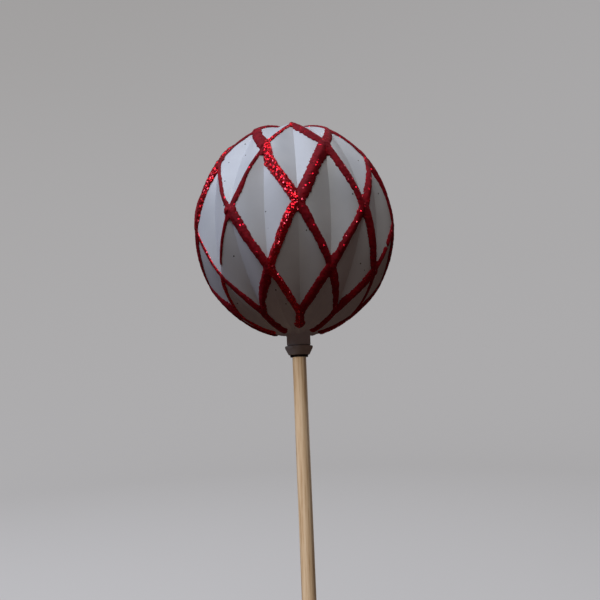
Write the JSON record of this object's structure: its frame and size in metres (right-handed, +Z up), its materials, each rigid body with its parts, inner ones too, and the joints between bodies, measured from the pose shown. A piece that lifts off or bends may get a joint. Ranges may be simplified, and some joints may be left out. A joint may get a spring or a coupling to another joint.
{
  "type": "decorative ball on a stick",
  "caption": "Hollow faceted bauble with glitter glue along its diamond ridges, carried by a neck collar on a round wooden stick that it turns on and lifts off.",
  "frame": {"origin": "centre of the flat lower end of the stick", "axes": "+Z up along the stick towards the ball, -Y through a ridge crossing on the ball's widest ring"},
  "size_m": [0.0804, 0.0832, 0.3015],
  "materials": {
    "shell": "moulded satin white",
    "collar": "moulded, off-white",
    "wood": "bare turned wood",
    "glitter": "dried red glitter glue",
    "grip": "dark matt rubber"
  },
  "bodies": {
    "stick": {"stick": "wood"},
    "collar": {"neck_collar": "collar", "grip_ring": "grip"},
    "ball": {"ball_shell": "shell", "glitter_bead_left_01": "glitter", "glitter_bead_right_01": "glitter", "glitter_bead_left_02": "glitter", "glitter_bead_right_02": "glitter", "glitter_bead_left_03": "glitter", "glitter_bead_right_03": "glitter", "glitter_bead_left_04": "glitter", "glitter_bead_right_04": "glitter", "glitter_bead_left_05": "glitter", "glitter_bead_right_05": "glitter", "glitter_bead_left_06": "glitter", "glitter_bead_right_06": "glitter", "glitter_bead_left_07": "glitter", "glitter_bead_right_07": "glitter", "glitter_bead_left_08": "glitter", "glitter_bead_right_08": "glitter", "glitter_bead_left_09": "glitter", "glitter_bead_right_09": "glitter", "glitter_bead_left_10": "glitter", "glitter_bead_right_10": "glitter"}
  },
  "joints": [
    {"name": "ball_lift", "type": "slide", "parent": "stick", "child": "collar", "axis": [0, 0, 1], "range_m": [0, 0.09]},
    {"name": "ball_turn", "type": "hinge", "parent": "collar", "child": "ball", "pos_m": [0, 0, 0.258], "axis": [0, 0, 1], "continuous": true}
  ]
}
